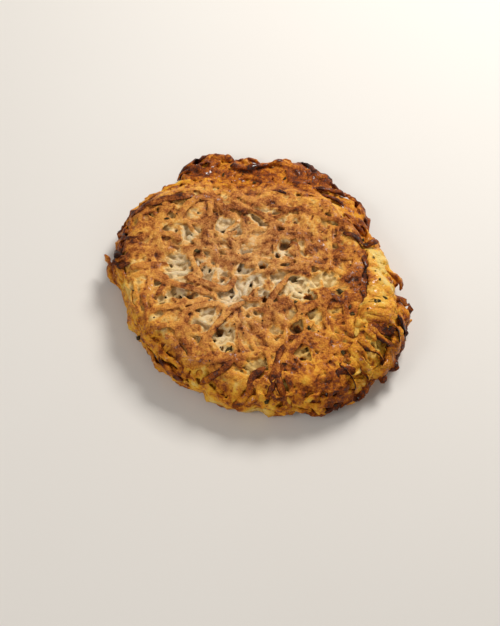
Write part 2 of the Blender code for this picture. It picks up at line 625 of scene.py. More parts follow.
def scattered_group():
    """Scatters shreds over a surface, bends them and lays them down on it."""
    names = ("Density", "Shortest", "Longest", "Width", "Flatness", "Curl", "Lowest", "Highest")
    names += ("Drape", "Lift Off", "Roughness")
    sockets = [("Seed", "Int"), *[(name, "Float") for name in names]]
    group, tree, given = new_group("scattered_strands", sockets)

    def chance(low, high, step):
        """A random number for each shred."""
        inputs = {"Min": low, "Max": high, "Seed": given["Seed"] + step}
        return tree.add("FunctionNodeRandomValue", {"data_type": "FLOAT"}, inputs)["Value"]

    density = given["Density"] * kept(tree, "cover")
    inputs = {"Mesh": given["Surface"], "Density": density, "Seed": given["Seed"]}
    scatter = tree.add("GeometryNodeDistributePointsOnFaces", None, inputs)
    lie = spun(tree, scatter["Rotation"], chance(0.0, math.tau, 1))
    side = tree.add("FunctionNodeRotateVector", None, {"Vector": (0.0, 1.0, 0.0), "Rotation": lie})
    points = keep(tree, scatter["Points"], "side_way", side["Vector"], "FLOAT_VECTOR")
    points = keep(tree, points, "reach", chance(given["Shortest"], given["Longest"], 2))
    points = keep(tree, points, "bow", chance(given["Curl"] * -1.0, given["Curl"], 3))
    points = keep(tree, points, "sway", chance(-0.06, 0.06, 4))
    points = keep(tree, points, "rise", chance(given["Lowest"], given["Highest"], 5))
    points = keep(tree, points, "shade", chance(-0.5, 0.5, 6))
    points = keep(tree, points, "fat", chance(0.65, 1.2, 7))
    points = keep(tree, points, "tip", chance(0.0, 1.0, 8))
    inputs = {"Start": (-0.5, 0.0, 0.0), "End": (0.5, 0.0, 0.0)}
    line = tree.add("GeometryNodeCurvePrimitiveLine", None, inputs)
    beaded = tree.add("GeometryNodeResampleCurve", None, {"Curve": line["Curve"], "Count": STRAND_RINGS})
    size = tree.add("ShaderNodeCombineXYZ", None, {"X": kept(tree, "reach"), "Y": 1.0, "Z": 1.0})
    inputs = {"Points": points, "Instance": beaded["Curve"], "Rotation": lie, "Scale": size["Vector"]}
    copies = tree.add("GeometryNodeInstanceOnPoints", None, inputs)["Instances"]
    strands = tree.add("GeometryNodeRealizeInstances", None, {"Geometry": copies})["Geometry"]

    way = tree.add("GeometryNodeSplineParameter")["Factor"]
    middle = way - 0.5
    wave = tree.add("ShaderNodeMath", {"operation": "SINE"}, {0: way * 8.2})["Value"]
    bend = kept(tree, "bow") * (1.0 - middle * middle * 4.0) + kept(tree, "sway") * wave
    aside = scaled(tree, kept(tree, "side_way", "FLOAT_VECTOR"), bend * kept(tree, "reach"))
    strands = tree.add("GeometryNodeSetPosition", None, {"Geometry": strands, "Offset": aside})["Geometry"]

    place = tree.add("GeometryNodeInputPosition")["Position"]
    near = tree.add("GeometryNodeProximity", None, {"Geometry": given["Surface"]})["Position"]
    upright = tree.add("GeometryNodeInputNormal")["Normal"]
    inputs = {"Mesh": given["Surface"], "Value": upright}
    normal = tree.add("GeometryNodeSampleNearestSurface", {"data_type": "FLOAT_VECTOR"}, inputs)["Value"]
    lift = kept(tree, "rise") + kept(tree, "tip") * given["Lift Off"] * way**3.0
    laid = tree.add("ShaderNodeVectorMath", {"operation": "ADD"}, {0: near, 1: scaled(tree, normal, lift)})
    inputs = {"Factor": given["Drape"], "A": place, "B": laid["Vector"]}
    mix = tree.add("ShaderNodeMix", {"data_type": "VECTOR"}, inputs)["Result"]
    strands = tree.add("GeometryNodeSetPosition", None, {"Geometry": strands, "Position": mix})["Geometry"]
    inputs = {"Curve": strands, "Normal": normal}
    strands = tree.add("GeometryNodeSetCurveNormal", {"mode": "FREE"}, inputs)["Curve"]
    sweep(tree, given, strands, given["Width"] * kept(tree, "fat"))
    return group


def path_group():
    """Makes a shred along each chain of edges."""
    group, tree, given = new_group("path_strands", [("Flatness", "Float"), ("Roughness", "Float")])
    strands = tree.add("GeometryNodeMeshToCurve", None, {"Mesh": given["Surface"]})["Curve"]
    inputs = {"Curve": strands, "Normal": kept(tree, "face_way", "FLOAT_VECTOR")}
    strands = tree.add("GeometryNodeSetCurveNormal", {"mode": "FREE"}, inputs)["Curve"]
    sweep(tree, given, strands, kept(tree, "wide"))
    return group


SCATTERED = scattered_group()
ALONG_PATHS = path_group()


def made_by(group, name, mesh, **sizes):
    """The mesh that a geometry tree makes from a mesh, with its inputs set by name."""
    piece = plain_object(name, mesh)
    modifier = piece.modifiers.new("strands", "NODES")
    modifier.node_group = group
    for item in group.interface.items_tree:
        plain_name = item.name.replace(" ", "_").lower()
        if item.in_out == "INPUT" and plain_name in sizes:
            modifier[item.identifier] = sizes[plain_name]
    return finished_mesh(piece, name)


def lay_strands(name, cover, **sizes):
    """One mesh of shreds over the cake's skin. cover says how thick they lie at each point."""
    surface = solid_mesh.copy()
    set_value(surface, "cover", cover)
    return made_by(SCATTERED, name, surface, **sizes)


skin_points, skin_normals = points_of(solid_mesh), normals_of(solid_mesh)
skin_all = np.ones(len(skin_points))
skin_top = ease(skin_normals[:, 2], 0.55, 0.9)
skin_under = ease(-skin_normals[:, 2], 0.7, 0.95)
skin_pocket = pocket_at(skin_points) * skin_top
skin_crust = skin_top * (1.0 - 0.8 * skin_pocket)
skin_pan = skin_top * (1.0 - 0.6 * skin_pocket) * (0.25 + 0.75 * pressed_share(skin_points))
# The side, but not where the pale flap covers it.
FLAP_SPOT = ((61.0, -8.0, 8.0, 19.0, 1.4),)
skin_flap = np.clip(spots_at(skin_points, FLAP_SPOT), 0.0, 1.0)
skin_side = (1.0 - skin_top) * (1.0 - skin_under) * (1.0 - skin_flap)

# The shreds by where they lie: (name, where they lie, how much they differ in tone, shreds in a square
# metre, shortest, longest, width, flatness, lowest, highest, how far an end lifts off). Lengths are in
# mm, and lowest and highest are heights over the cake's plain skin.
SHRED_LAYERS = (
    ("deep_shreds", skin_all, 0.10, 26000.0, 12.0, 34.0, 2.7, 0.62, -2.9, -1.5, 0.3),
    ("crust_shreds", skin_crust, 0.14, 17000.0, 14.0, 42.0, 3.5, 0.48, -2.1, -0.5, 0.4),
    ("pan_shreds", skin_pan, 0.28, 6500.0, 14.0, 38.0, 3.5, 0.55, -0.5, 0.5, 0.3),
    ("pocket_shreds", skin_pocket, 0.50, 21000.0, 9.0, 26.0, 2.8, 0.8, -3.0, 0.4, 0.6),
    ("rim_shreds", skin_side, 0.36, 15000.0, 10.0, 32.0, 3.1, 0.55, -1.2, 0.7, 2.6),
    ("base_shreds", skin_under, 0.20, 17000.0, 12.0, 38.0, 3.2, 0.48, -1.2, 0.1, 0.3),
)
SHRED_CURL = 0.34
SHRED_DRAPE = 0.92
SHRED_ROUGHNESS = 0.8 * MM


def toned(mesh, tones):
    """Stores how much darker (above 0) or paler each point is than the crust round it."""
    set_value(mesh, "tone", tones)
    return mesh


# The cake's parts before they fuse: its core, the scattered shreds and those with their own paths.
core = cake_core()
parts = [toned(core, np.zeros(len(core.vertices)))]
for index, (name, cover, tone, density, *lengths) in enumerate(SHRED_LAYERS):
    shortest, longest, width, flatness, lowest, highest, lift_off = lengths
    shreds = lay_strands(
        name,
        cover,
        seed=11 * index + 7,
        density=density,
        shortest=shortest * MM,
        longest=longest * MM,
        width=width * MM,
        flatness=flatness,
        lowest=lowest * MM,
        highest=highest * MM,
        lift_off=lift_off * MM,
        curl=SHRED_CURL,
        drape=SHRED_DRAPE,
        roughness=SHRED_ROUGHNESS,
    )
    parts.append(toned(shreds, tone * value_of(shreds, "shade")))
for part in parts:
    settle(part)


# Shreds that can be told apart are laid along their own paths.
def smooth_path(points, step):
    """Evenly filled points on a smooth curve through the given ones."""
    points = np.array(points, float)
    ends = np.vstack([2 * points[0] - points[1], points, 2 * points[-1] - points[-2]])
    filled = []
    for start in range(len(points) - 1):
        before, here, there, after = ends[start : start + 4]
        parts = max(2, round(np.linalg.norm(there - here) / step))
        for part in np.arange(parts) / parts:
            line = 2 * here + (there - before) * part
            line += (2 * before - 5 * here + 4 * there - after) * part**2
            line += (3 * here - before - 3 * there + after) * part**3
            filled.append(line / 2)
    return np.vstack([filled, points[-1]])


# A path that stands off the cake's skin by more than this lifts its shred off as well.
FREE_FROM = 2.5 * MM
PATH_STEP = 1.8
END_SINK = 0.9 * MM
TWIST = 0.3


def path_strands(name, strands, flatness, lift, stand=0.0, roughness=0.5 * MM):
    """Shreds along paths on the cake: (width, tone, points), in mm.

    stand is 0 for shreds that lie flat on the skin and 1 for those that stand on edge.
    """
    chain = bmesh.new()
    rows = []
    for width, shade, path in strands:
        places = smooth_path(path, PATH_STEP) * MM
        way = np.abs(np.linspace(-1.0, 1.0, len(places)))
        tangents = np.gradient(places, axis=0)
        last = None
        for index, place in enumerate(places):
            near, normal, _, _ = SKIN.find_nearest(Vector(place))
            stands_off = (Vector(place) - near).dot(normal) - FREE_FROM
            rise = lift - END_SINK * way[index] ** 6 + max(stands_off, 0.0)
            aside = Vector((tangents[index][1], -tangents[index][0], 0.0)).normalized()
            outward = aside if aside.dot(normal) > 0.0 else -aside
            face = normal.lerp(outward, stand).normalized()
            along = Vector(tangents[index]).normalized()
            turn = TWIST * math.sin(3.0 * way[index] + 1.7 * len(rows) / (index + 1))
            face = (face * math.cos(turn) + along.cross(face) * math.sin(turn)).normalized()
            here = chain.verts.new(near + normal * rise)
            if last is not None:
                chain.edges.new((last, here))
            last = here
            rows.append((*face, width * MM, shade))
    mesh = bpy.data.meshes.new(name)
    chain.to_mesh(mesh)
    chain.free()
    rows = np.array(rows)
    set_ways(mesh, "face_way", rows[:, :3])
    set_value(mesh, "wide", rows[:, 3])
    set_value(mesh, "shade", rows[:, 4])
    return made_by(ALONG_PATHS, name, mesh, flatness=flatness, roughness=roughness)


def flat_path(height, *points):
    """A path at one height, from points seen from above."""
    return tuple((x, y, height) for x, y in points)


# The single shreds that cross the top, at about its height: (width, tone, path), in mm.
TOP = 23.0
BRIDGE_SHREDS = (
    (3.9, 0.04, flat_path(TOP, (-35, -11), (-25, -14), (-16, -17), (-11, -9))),
    (4.2, 0.06, flat_path(TOP, (-52, -8), (-43, -13), (-33, -17), (-23, -20))),
    (3.4, 0.02, flat_path(TOP, (-48, -29), (-37, -27), (-30, -25))),
    (3.6, -0.04, flat_path(TOP, (-39, -45), (-37, -35), (-30, -29), (-17, -27))),
    (3.8, 0.00, flat_path(TOP, (-28, -51), (-21, -40), (-15, -32), (-7, -25))),
    (2.8, 0.06, flat_path(TOP, (-9, -22), (-4, -24), (2, -23))),
    (3.6, 0.02, flat_path(TOP, (3, -29), (8, -20), (14, -12))),
    (2.6, 0.02, flat_path(TOP, (8, -6), (16, -6), (19, -3), (19, 6))),
    (3.9, 0.02, flat_path(TOP, (16, -36), (23, -29), (36, -21))),
    (4.2, 0.00, flat_path(TOP, (-4, -35), (3, -43), (9, -50))),
    (4.2, 0.02, flat_path(TOP, (19, -42), (29, -44), (33, -51), (28, -60))),
    (2.2, 0.14, flat_path(TOP, (23, -43), (18, -49), (15, -54), (17, -61))),
    (2.6, 0.44, flat_path(TOP, (13, -45), (18, -44), (23, -44))),
    (2.8, 0.04, flat_path(TOP, (3, -49), (5, -57), (6, -64))),
    (3.0, 0.06, flat_path(TOP, (-19, 32), (-12, 32), (-5, 27))),
    (3.0, 0.02, flat_path(TOP, (-35, 7), (-31, -4), (-27, -10))),
    (3.2, 0.02, flat_path(TOP, (-3, 30), (6, 24), (15, 18))),
    (2.6, 0.00, flat_path(TOP, (-14, 3), (-8, -1), (-3, -3))),
    (2.6, 0.04, flat_path(TOP, (20, 0), (29, -3), (36, -3))),
    (2.8, 0.08, flat_path(TOP, (-54, -4), (-48, -7), (-44, -10))),
)


RIM_WRAPS = 84


def rim_wraps():
    """Shreds that run along the cake's side, as they were folded round it in the pan."""
    chances = np.random.default_rng(31)
    wraps = []
    for index in range(RIM_WRAPS):
        middle = math.tau * (index + chances.random()) / RIM_WRAPS
        on_ledge = math.sin(middle) > 0.5 and index % 3 > 0
        height, climb = chances.uniform(3.0, 18.0), chances.uniform(-7.0, 7.0)
        span = chances.uniform(0.12, 0.42)
        width, shade = chances.uniform(2.4, 3.8), chances.uniform(-0.16, 0.14)
        path = []
        for part in (-0.5, -0.17, 0.17, 0.5):
            angle = middle + part * span
            rise = np.clip(height + climb * part + chances.uniform(-1.0, 1.0), 2.0, 19.0) * MM
            way_in = Vector((-math.cos(angle), -math.sin(angle), 0.0))
            hit = SKIN.ray_cast(Vector((0.0, 0.0, rise)) - way_in * FAR_OFF, way_in)[0]
            path.append(tuple(hit / MM))
        if not on_ledge:
            wraps.append((width, shade, path))
    return wraps


# Shreds on the top keep their height over the pockets, as share 0 says.
for name, strands, flatness, lift, share in (
    ("rim_wraps", rim_wraps(), 0.7, 0.6 * MM, 1.0),
    ("bridge_shreds", BRIDGE_SHREDS, 0.6, 0.5 * MM, 0.0),
):
    shreds = path_strands(name, strands, flatness, lift)
    settle(shreds, share)
    parts.append(toned(shreds, value_of(shreds, "shade")))


def edge_ends(mesh):
    """The points at the first and at the second ends of a mesh's edges."""
    edges = np.empty(len(mesh.edges) * 2, np.int32)
    mesh.edges.foreach_get("vertices", edges)
    return edges.reshape(-1, 2).T


def outer_shell(mesh, name):
    """The largest connected part of a mesh, without the closed bubbles inside it."""
    first, second = edge_ends(mesh)
    labels = np.arange(len(mesh.vertices))
    while True:
        lowest = np.minimum(labels[first], labels[second])
        joined = labels.copy()
        np.minimum.at(joined, labels[first], lowest)
        np.minimum.at(joined, labels[second], lowest)
        joined = joined[joined]
        if (joined == labels).all():
            break
        labels = joined
    outer = labels == np.bincount(labels).argmax()
    order = np.cumsum(outer) - 1
    rings = [face.vertices for face in mesh.polygons if outer[face.vertices[0]]]
    faces = [[order[corner] for corner in ring] for ring in rings]
    shell = bpy.data.meshes.new(name)
    shell.from_pydata(points_of(mesh)[outer].tolist(), [], faces)
    return shell


def fused(name, meshes, voxel):
    """Several meshes as one closed skin, whose points keep the tone of the nearest mesh."""
    points, faces, tones = [], [], []
    start = 0
    for mesh in meshes:
        points.append(points_of(mesh))
        tones.append(value_of(mesh, "tone"))
        faces += [[start + corner for corner in face.vertices] for face in mesh.polygons]
        start += len(mesh.vertices)
    points, tones = np.vstack(points), np.concatenate(tones)
    whole = bpy.data.meshes.new(name)
    whole.from_pydata(points.tolist(), [], faces)
    tree = BVHTree.FromPolygons(points.tolist(), faces)
    skin = outer_shell(remeshed(whole, name, voxel), name)
    nearest = [tree.find_nearest(Vector(point))[2] for point in points_of(skin)]
    return toned(skin, tones[[faces[face][0] for face in nearest]])


CAKE_VOXEL = 0.46 * MM
CAKE_TRIANGLES = 196000
# How much of what stands above the pan is pressed away, and how softly that sets in.
PAN_BITE = 0.72
PAN_SOFT = 0.2 * MM
# Steam lifts the crust off the pan in wide swells and in small blisters.
SWELLS = 0.5 * MM
BLISTERS = 0.26 * MM


def press(mesh):
    """Flattens what stands above the pan's height, and what hangs below the cake's base."""
    points = points_of(mesh)
    pan = pan_at(points)
    swells = SWELLS * cloud(points, 12.0 * MM, 7)
    blisters = BLISTERS * (cloud(points, 5.0 * MM, 8) + 0.9 * cloud(points, 2.2 * MM, 9))
    over = (points[:, 2] - pan - swells - blisters) / PAN_SOFT
    squeezed = PAN_BITE * PAN_SOFT * np.logaddexp(0.0, over)
    points[:, 2] = np.maximum(points[:, 2] - squeezed * pressed_share(points), 0.0)
    set_points(mesh, points)


def thinned(mesh, name, triangles):
    """The mesh with fewer faces, down to a number of triangles."""
    piece = plain_object(name, mesh)
    modifier = piece.modifiers.new("thin", "DECIMATE")
    modifier.ratio = min(1.0, triangles / sum(len(face.vertices) - 2 for face in mesh.polygons))
    return finished_mesh(piece, name)


cake = fused("cake", parts, CAKE_VOXEL)
press(cake)
cake = thinned(cake, "cake", CAKE_TRIANGLES)
cake.shade_smooth()


def bulge_of(mesh, passes):
    """How far each point stands out of its own smoothed surroundings, in mm."""
    first, second = edge_ends(mesh)
    points = points_of(mesh)
    count = len(points)
    neighbours = np.bincount(first, minlength=count) + np.bincount(second, minlength=count)
    soft = points.copy()
    for _ in range(passes):
        total = np.empty_like(soft)
        for axis in range(3):
            total[:, axis] = np.bincount(first, soft[second, axis], count)
            total[:, axis] += np.bincount(second, soft[first, axis], count)
        soft = 0.5 * soft + 0.5 * total / np.maximum(neighbours, 1)[:, None]
    return np.einsum("ij,ij->i", points - soft, normals_of(mesh)) / MM


# Where the crust is darker (above 0) or paler than the rest: (x, y, half width, half depth, amount).
TONE_SPOTS = (
    (-69, 8, 7, 11, 0.42),
    (-60, 28, 10, 8, 0.12),
    (52, -6, 4, 20, 0.20),
    (-32, 66, 9, 8, 0.20),
    (33, 60, 12, 8, 0.20),
    (52, 32, 8, 14, 0.14),
    (35, -70, 14, 6, 0.26),
    (64, -46, 9, 15, 0.24),
    (-16, 34, 18, 8, 0.16),
    (13, 12, 8, 5, 0.10),
    (60, -8, 5, 18, -0.22),
    (65, -8, 3, 3, 0.5),
    (-64, -18, 9, 18, -0.16),
    (0, 62, 44, 13, 0.27),
    (44, 24, 14, 14, 0.06),
    (42, -22, 12, 12, 0.05),
    (38, -54, 14, 12, -0.08),
    (0, -72, 14, 5, -0.12),
    (-34, 44, 8, 5, -0.18),
    (-22, 52, 12, 6, -0.14),
)
# Where the crust lay dry on the pan, so that it is matte and less golden.
DRY_SPOTS = ((-10.0, 6.0, 52.0, 42.0, 0.95), (-16.0, -40.0, 34.0, 24.0, 0.40))
# How browned, from 0 for raw to 1 for black: a pocket's floor, the crust, the side, and how dark the
# painted shade in a deep hole is.
POCKET_TOAST = 0.06
CRUST_TOAST = 0.49
SIDE_TOAST = 0.38
HOLE_SHADE = 0.86
# What is darker than this browns only slowly, so that little is black.
BURNT = 0.70
BURNT_HOLD = 0.5


def brown_and_shade(mesh, shade, fine_passes=8, broad_passes=30, crisp=1.0):
    """Stores how browned, how dry, how oily and how shadowed each point of a piece is.

    The passes say how wide the surroundings are that creases, darkened with painted shade, and edges
    are found against, and crisp says how much the edges of shreds brown.
    """
    points = points_of(mesh)
    gaps, ways = skin_gap(points)
    gaps /= MM
    fine_bulge, broad_bulge = bulge_of(mesh, fine_passes), bulge_of(mesh, broad_passes)
    on_top = ease(ways[:, 2], 0.35, 0.85) * pressed_share(points)
    below = ease(-ways[:, 2], 0.5, 0.9)
    flat = np.maximum(on_top, below)
    broad = cloud(points, 15.0 * MM, 3)
    grain = cloud(points, 5.0 * MM, 5)
    fine = cloud(points, 2.2 * MM, 4, 3)
    # 1 where the pan's heat reached the surface, and 0 where it lies 2 mm below the crust.
    reached = ease(gaps + 0.45 * grain + 0.35 * fine, -2.0, -0.20)
    crust = CRUST_TOAST + 0.08 * broad + 0.14 * grain + 0.04 * fine
    top_toast = POCKET_TOAST + (crust - POCKET_TOAST) * reached
    edges = ease(broad_bulge, 0.25, 0.9) * ease(grain, -0.5, 0.7)
    side_toast = SIDE_TOAST + 0.09 * broad + 0.12 * grain + 0.06 * fine + 0.28 * crisp * edges
    toast = top_toast * flat + side_toast * (1.0 - flat)
    toast += spots_at(points, TONE_SPOTS) * ease(gaps, -2.0, -0.3) + shade * (0.4 + 0.6 * reached)
    # Painted shade: creases and hollows between the shreds are darkened, as shade falls there.
    crevice_shade, hollow_shade = ease(-fine_bulge, 0.04, 0.28), ease(-broad_bulge, 0.25, 1.0)
    toast += 0.26 * crevice_shade * (0.3 + 0.7 * reached) + 0.24 * hollow_shade * (0.1 + 0.9 * reached)
    toast -= BURNT_HOLD * np.maximum(toast - BURNT, 0.0)
    # Painted shade: deep holes are darkened nearly to black, as shade falls in them.
    toast += (HOLE_SHADE - toast) * ease(hole_at(points) / MM, 1.2, 3.8)
    dry = np.clip(spots_at(points, DRY_SPOTS), 0.0, 1.0) * on_top + 0.8 * below
    raw = (1.0 - reached) * flat
    set_value(mesh, "toast", np.clip(toast, 0.0, 1.0))
    # Painted shade, which the material mixes in: creases, and hollows in the pale pockets.
    set_value(mesh, "shadow", np.clip(crevice_shade * (0.10 + 0.80 * raw) + 0.20 * hollow_shade * raw, 0.0, 1.0))
    set_value(mesh, "pan", dry)
    set_value(mesh, "oil", np.clip(1.25 - 0.45 * on_top - 0.5 * dry + 0.3 * broad, 0.0, 1.3))


brown_and_shade(cake, value_of(cake, "tone"))

# The colours of potato from raw to burnt, where oil fried it golden and where it lay dry on the pan.
GOLDEN_STOPS = (
    (0.00, (0.83, 0.58, 0.165)),
    (0.18, (0.84, 0.455, 0.042)),
    (0.34, (0.74, 0.305, 0.020)),
    (0.50, (0.54, 0.170, 0.012)),
    (0.66, (0.28, 0.058, 0.003)),
    (0.82, (0.085, 0.014, 0.002)),
    (1.00, (0.012, 0.004, 0.002)),
)
PAN_STOPS = (
    (0.00, (0.76, 0.660, 0.500)),
    (0.16, (0.745, 0.540, 0.310)),
    (0.32, (0.73, 0.370, 0.105)),
    (0.50, (0.53, 0.235, 0.072)),
    (0.66, (0.31, 0.100, 0.023)),
    (0.82, (0.085, 0.019, 0.004)),
    (1.00, (0.012, 0.005, 0.002)),
)
# Painted shade: the dark tone that creases and pale pockets are mixed towards, as shade falls there.
PAINTED_SHADE_TONE = (0.235, 0.128, 0.045, 1.0)


def fried_potato(name, roughness=0.46, coat=0.5):
    """Fried potato: mottled by its crust's fine blisters, and glossy where oil lies on it."""
    material, tree, shader = start_material(
        name,
        Coat_Roughness=0.13,
        Subsurface_Weight=0.08,
        Subsurface_Scale=0.002,
        Specular_IOR_Level=0.12,
    )
    shader.inputs["Subsurface Radius"].default_value = (1.0, 0.45, 0.2)
    place = tree.add("ShaderNodeTexCoord")["Object"]

    def value(attribute):
        """What is stored under a name on the mesh."""
        return tree.add("ShaderNodeAttribute", {"attribute_name": attribute})["Fac"]

    def speckle(scale):
        """Noise about 0."""
        inputs = {"Vector": place, "Scale": scale, "Detail": 3.0, "Roughness": 0.62}
        return tree.add("ShaderNodeTexNoise", None, inputs)["Fac"] - 0.5

    toast, pan, oil = value("toast"), value("pan"), value("oil")
    blister, mottle = speckle(1300.0), speckle(420.0)
    shown = toast + (mottle * 0.60 + blister * 0.68) * (toast.ease(0.05, 0.4) * 0.8 + 0.2)
    golden = tree.add("ShaderNodeValToRGB", {"stops": GOLDEN_STOPS}, {"Fac": shown})["Color"]
    scorched = tree.add("ShaderNodeValToRGB", {"stops": PAN_STOPS}, {"Fac": shown})["Color"]
    inputs = {"Factor": pan + speckle(300.0) * 0.9 * pan, "A": golden, "B": scorched}
    colour = tree.add("ShaderNodeMix", {"data_type": "RGBA"}, inputs)
    # Painted shade: the shadow value mixes the colour towards the shade tone.
    inputs = {"Factor": value("shadow") * 0.60, "A": colour["Result"], "B": PAINTED_SHADE_TONE}
    colour = tree.add("ShaderNodeMix", {"data_type": "RGBA"}, inputs)
    tree.feed(shader.inputs["Base Color"], colour["Result"])
    tree.feed(shader.inputs["Roughness"], roughness + 0.2 * pan + blister * 0.5)
    drops = (mottle * 4.0 + blister * 4.0).ease(0.05, 0.8)
    tree.feed(shader.inputs["Coat Weight"], oil * coat * drops)
    inputs = {"Strength": 0.95, "Distance": 0.7 * MM, "Height": blister + mottle * 1.4}
    bump = tree.add("ShaderNodeBump", None, inputs)
    tree.feed(shader.inputs["Normal"], bump["Normal"])
    return material


def finish_piece(name, mesh, material):
    """Puts a finished mesh in the scene as a piece of the cake."""
    mesh.materials.clear()
    mesh.materials.append(material)
    piece = plain_object(name, mesh)
    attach(piece, "root")
    return piece


cake_piece = finish_piece("fused_cake", cake, fried_potato("fried_cake"))
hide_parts(CAKE)


# ---------------------------------------------------------------------------
# The free shreds of the rim, which stand out of the cake and fried dark and
# crisp, or hang down its side. Each is a grated strip of potato.
# ---------------------------------------------------------------------------
# The shreds: (width, tone, path), in mm. Tones above 0 are darker than the crust.
RIM_STRANDS = (
    (4.0, 0.20, ((-65, 29, 19), (-54, 33, 22), (-43, 36, 23), (-32, 38, 24))),
    (3.0, 0.04, ((-60, 36, 15), (-51, 39, 16), (-42, 41, 16))),
    (4.0, 0.34, ((-42, 45, 6), (-38, 57, 6), (-34, 66, 6), (-28, 72, 6), (-18, 75, 6), (-13, 73, 6))),
    (3.0, 0.10, ((-12, 73, 5), (-7, 77, 5), (-1, 77, 5), (3, 72, 5))),
    (3.4, 0.36, ((20, 73, 5), (27, 70, 6), (32, 65, 7), (37, 57, 7))),
    (3.2, 0.42, ((28, 49, 13), (36, 49, 12), (44, 47, 9))),
    (3.2, 0.44, ((30, 41, 15), (36, 41, 14), (43, 38, 13))),
    (2.6, 0.40, ((7, 42, 18), (10, 42, 18), (14, 40, 18))),
    (2.8, 0.38, ((42, 16, 24), (48, 14, 24), (55, 11, 23), (62, 15, 19))),
    (3.0, 0.20, ((38, 60, 5), (45, 51, 5), (51, 43, 5), (55, 33, 5), (57, 25, 5))),
    (5.0, 0.40, ((50, 4, 19), (53, -4, 19), (52, -13, 19))),
    (4.4, 0.18, ((50, -16, 19), (52, -24, 18), (50, -33, 18))),
    (3.0, 0.34, ((-70, 31, 10), (-72, 24, 9), (-71, 17, 9))),
    (4.2, 0.44, ((-74, 13, 11), (-70, 8, 14), (-65, 4, 17))),
    (3.4, 0.34, ((-72, 6, 12), (-68, 2, 15), (-63, 0, 18))),
    (2.8, 0.30, ((-68, 22, 14), (-64, 15, 17), (-58, 12, 20))),
    (4.4, -0.04, ((-79, 11, 12), (-75, 4, 10), (-72, -6, 9), (-68, -18, 8))),
    (4.4, -0.12, ((-69, 1, 16), (-67, -6, 16), (-65, -15, 15), (-61, -24, 14))),
    (3.6, -0.12, ((-73, 4, 7), (-71, -8, 7), (-66, -20, 7), (-60, -31, 7))),
    (3.4, -0.04, ((-72, 1, 13), (-68, -10, 13), (-63, -21, 12), (-57, -32, 11))),
    (3.8, -0.06, ((-69, -2, 15), (-63, -16, 16), (-58, -28, 16), (-52, -39, 14))),
    (3.8, -0.10, ((-67, -26, 7), (-59, -39, 8), (-51, -50, 8), (-43, -59, 7))),
    (3.4, -0.04, ((-66, -14, 18), (-60, -26, 18), (-54, -36, 17), (-47, -45, 15))),
    (3.2, -0.08, ((-55, -46, 11), (-47, -55, 10), (-38, -62, 9), (-28, -67, 9))),
    (3.0, 0.34, ((-49, -52, 16), (-43, -58, 14), (-38, -64, 10))),
    (3.4, 0.28, ((-27, -62, 13), (-19, -60, 16), (-12, -55, 20))),
    (3.6, 0.22, ((-15, -73, 7), (-7, -68, 13), (3, -59, 21))),
    (3.4, 0.22, ((12, -48, 22), (9, -56, 21), (9, -63, 17), (11, -71, 9))),
    (3.6, 0.24, ((6, -66, 14), (12, -69, 11), (13, -74, 6))),
    (3.0, 0.28, ((9, -54, 22), (7, -63, 17), (5, -72, 8))),
    (3.6, 0.40, ((17, -73, 4), (25, -74, 5), (33, -71, 6), (41, -62, 8))),
    (3.0, 0.32, ((18, -76, 3), (26, -76, 3), (36, -72, 4))),
    (4.4, 0.46, ((35, -63, 18), (40, -61, 19), (46, -59, 18))),
    (5.0, 0.34, ((52, -38, 19), (57, -38, 16), (61, -36, 13))),
    (2.4, -0.18, ((44, -66, 10), (41, -70, 8), (38, -73, 6))),
    (3.6, 0.24, ((58, -19, 14), (66, -18, 12), (72, -18, 11), (78, -19, 11))),
    (3.0, 0.40, ((78, -18, 11), (72, -26, 10), (68, -34, 9), (66, -42, 7))),
    (5.0, -0.02, ((55, 18, 12), (60, 11, 12), (63, 4, 12), (65, -3, 11), (71, -9, 9))),
    (2.8, -0.22, ((46, -36, 25), (47, -39, 23), (47, -43, 18))),
    (2.6, -0.20, ((51, -36, 23), (52, -39, 20), (52, -43, 15))),
    (3.6, 0.14, ((58, 2, 12), (63, -2, 11), (67, -5, 9), (71, -9, 8))),
)
free_shreds = path_strands(
    "free_shreds", RIM_STRANDS, flatness=0.60, lift=0.8 * MM, roughness=1.6 * MM
)
# Only those at the front left follow the notches in the rim.
places = points_of(free_shreds)
settle(free_shreds, ease(-places[:, 0], 40.0 * MM, 50.0 * MM) * ease(-places[:, 1], 0.0, 6.0 * MM))
press(free_shreds)
tips = 0.10 * ease(value_of(free_shreds, "along"), 0.8, 1.0)
edges = 0.12 * ease(np.abs(value_of(free_shreds, "side")), 0.6, 1.0)
patches = 0.20 * cloud(points_of(free_shreds), 5.0 * MM, 41)
shade = value_of(free_shreds, "shade") + tips + edges + patches
brown_and_shade(free_shreds, shade, fine_passes=2, broad_passes=6, crisp=0.3)
finish_piece("free_shreds", free_shreds, fried_potato("fried_shreds", roughness=0.4, coat=0.6))


# ---------------------------------------------------------------------------
# Wide thin slices of potato that came off the grater whole and were folded
# over the rim in the pan: ribbons at the foot and at the front right, the
# pale flap, and the amber ruffle. Their thin edges brown first.
# ---------------------------------------------------------------------------
BASE_RIBBONS = (
    (7.0, -0.22, ((-11, -70, 6), (-1, -73, 6), (10, -71, 6))),
    (4.5, -0.16, ((-32, -64, 8), (-24, -68, 7), (-15, -71, 7))),
)
FOLDED_RIBBONS = (
    (7.0, -0.02, ((60, -22, 13), (63, -29, 11), (65, -37, 7))),
    (6.0, -0.08, ((54, -29, 17), (58, -34, 14), (61, -40, 10))),
    (6.4, -0.06, ((52, -39, 19), (56, -42, 16), (61, -45, 12))),
    (6.0, -0.02, ((48, -45, 19), (53, -49, 16), (57, -53, 11))),
    (7.0, -0.12, ((43, -50, 20), (48, -56, 16), (51, -62, 10))),
    (5.0, 0.00, ((38, -57, 19), (42, -62, 15), (45, -66, 10))),
)
